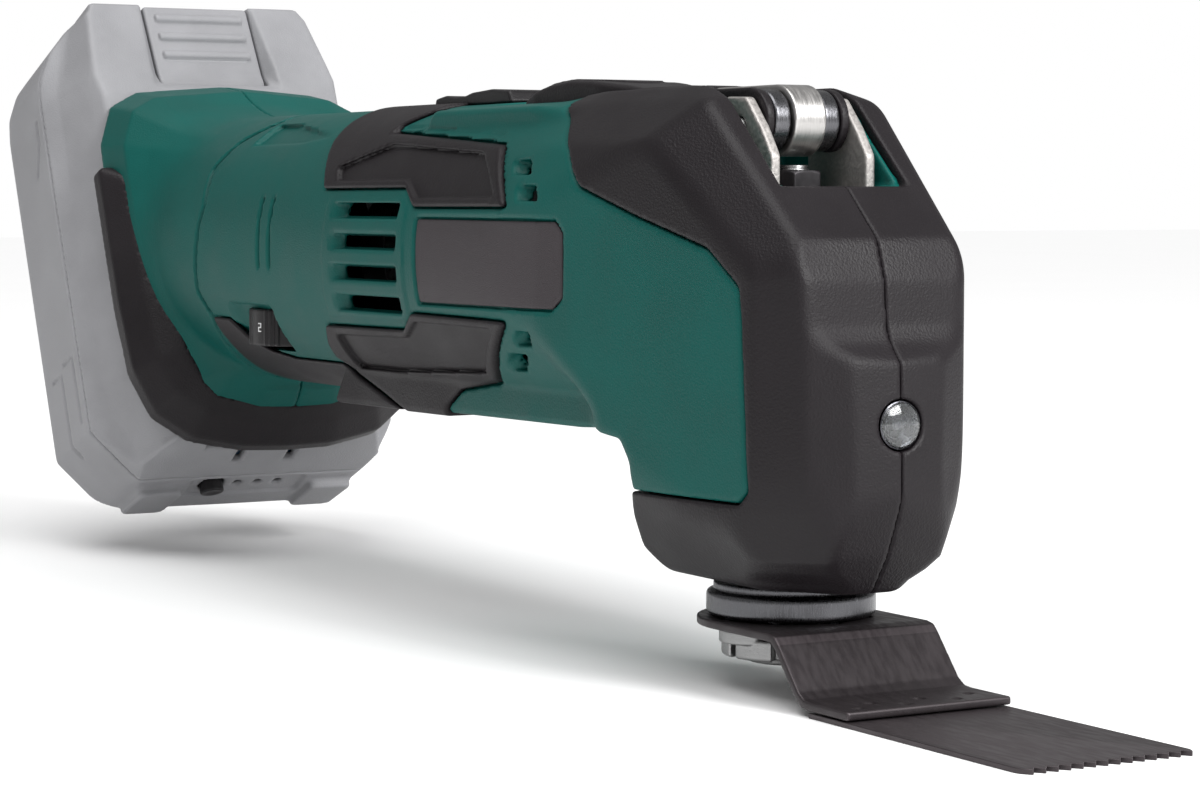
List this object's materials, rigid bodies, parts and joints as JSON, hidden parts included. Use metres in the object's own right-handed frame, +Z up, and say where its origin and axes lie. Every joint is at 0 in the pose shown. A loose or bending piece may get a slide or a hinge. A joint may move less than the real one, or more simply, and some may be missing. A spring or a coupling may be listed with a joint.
{
  "type": "oscillating multi tool",
  "caption": "Cordless oscillating multi tool with slide-on battery pack, clamp lever, speed dial, slide switch and a cranked plunge saw blade.",
  "frame": {"origin": "centre of the tool's box in plan, at the height of the saw blade's underside", "axes": "+X forward to the blade along the motor axis, +Y to the tool's right side, +Z up along the output spindle"},
  "size_m": [0.4102, 0.0832, 0.139],
  "materials": {
    "housing_green": "fine grained moulded plastic",
    "soft_black": "matt over-moulded elastomer",
    "hard_black": "moulded plastic",
    "pack_grey": "fine grained moulded plastic",
    "steel": "ground and brushed",
    "dark_steel": "blackened",
    "blade_steel": "dark burnished sheet",
    "cast_metal": "as cast",
    "brass": "plain",
    "copper": "lacquered winding wire",
    "board": "laminate",
    "lens": "clear moulded lens",
    "cell_wrap": "wrapped steel can"
  },
  "bodies": {
    "housing": {"housing_left": "housing_green", "housing_right": "housing_green", "head_cover_left": "soft_black", "head_cover_right": "soft_black", "housing_screw_1": "dark_steel", "housing_screw_2": "dark_steel", "housing_screw_3": "dark_steel", "housing_screw_4": "dark_steel", "grip_upper_left": "soft_black", "grip_upper_right": "soft_black", "grip_lower_left": "soft_black", "grip_lower_right": "soft_black", "side_plate_left": "hard_black", "side_plate_right": "hard_black", "foot_bumper": "soft_black", "rail_plate": "hard_black", "tool_contacts": "brass", "motor_can": "steel", "motor_end_cap": "hard_black", "gear_housing": "cast_metal", "motor_bearing": "steel", "lower_bearing": "steel", "upper_bearing": "steel", "lever_bracket": "cast_metal", "lever_pin": "steel", "switch_body": "hard_black", "control_board": "board", "led_lens": "lens"},
    "rotor": {"motor_shaft": "steel", "armature_core": "copper", "commutator": "brass", "cooling_fan": "hard_black", "eccentric": "steel", "eccentric_bearing": "steel"},
    "output": {"spindle": "steel", "swing_fork": "dark_steel", "output_flange": "dark_steel", "blade_adapter": "blade_steel", "saw_blade": "blade_steel", "clamp_spring": "steel"},
    "clamp": {"clamp_bolt": "steel", "clamp_nut": "dark_steel"},
    "lever": {"lever_handle": "soft_black", "lever_strap": "steel", "cam_roller_left": "dark_steel", "cam_roller_right": "dark_steel"},
    "switch_knob": {"slide_switch": "hard_black"},
    "dial": {"speed_dial": "hard_black"},
    "battery": {"pack_front_shell": "pack_grey", "pack_rear_shell": "pack_grey", "cell_1": "cell_wrap", "cell_2": "cell_wrap", "cell_3": "cell_wrap", "cell_4": "cell_wrap", "cell_5": "cell_wrap", "pack_board": "board", "pack_contacts": "brass", "latch_spring": "steel"},
    "latch": {"latch_button": "pack_grey"},
    "charge_key": {"charge_button": "soft_black"}
  },
  "joints": [
    {"name": "motor_spin", "type": "hinge", "parent": "housing", "child": "rotor", "pos_m": [0.01345, 0, 0.0775], "axis": [1, 0, 0], "continuous": true},
    {"name": "blade_swing", "type": "hinge", "parent": "housing", "child": "output", "pos_m": [0.11345, 0, 0.0227], "axis": [0, 0, 1], "range_deg": [-1.6, 1.6]},
    {"name": "clamp_release", "type": "slide", "parent": "output", "child": "clamp", "axis": [0, 0, -1], "range_m": [0, 0.003], "stiffness_N_per_m": 20, "springref_m": -0.003, "deforming": ["clamp_spring"]},
    {"name": "lever_lift", "type": "hinge", "parent": "housing", "child": "lever", "pos_m": [0.11295, 0, 0.1014], "axis": [0, 1, 0], "range_deg": [0, 150]},
    {"name": "switch_slide", "type": "slide", "parent": "housing", "child": "switch_knob", "axis": [1, 0, 0], "range_m": [0, 0.005]},
    {"name": "dial_turn", "type": "hinge", "parent": "housing", "child": "dial", "pos_m": [-0.06355, -0.0174, 0.0597], "axis": [0, 0, 1], "range_deg": [0, 270]},
    {"name": "pack_slide", "type": "slide", "parent": "housing", "child": "battery", "axis": [-0.3746, 0, 0.9272], "range_m": [0, 0.083]},
    {"name": "latch_press", "type": "slide", "parent": "battery", "child": "latch", "axis": [-0.9272, 0, -0.3746], "range_m": [0, 0.003], "stiffness_N_per_m": 800, "springref_m": -0.003, "deforming": ["latch_spring"]},
    {"name": "charge_key_press", "type": "slide", "parent": "battery", "child": "charge_key", "axis": [-0.3746, 0, 0.9272], "range_m": [0, 0.0008], "stiffness_N_per_m": 500, "springref_m": -0.001}
  ],
  "couplings": [
    {"joint": "clamp_release", "follows": "lever_lift", "m_per_rad": 0.0011459}
  ]
}
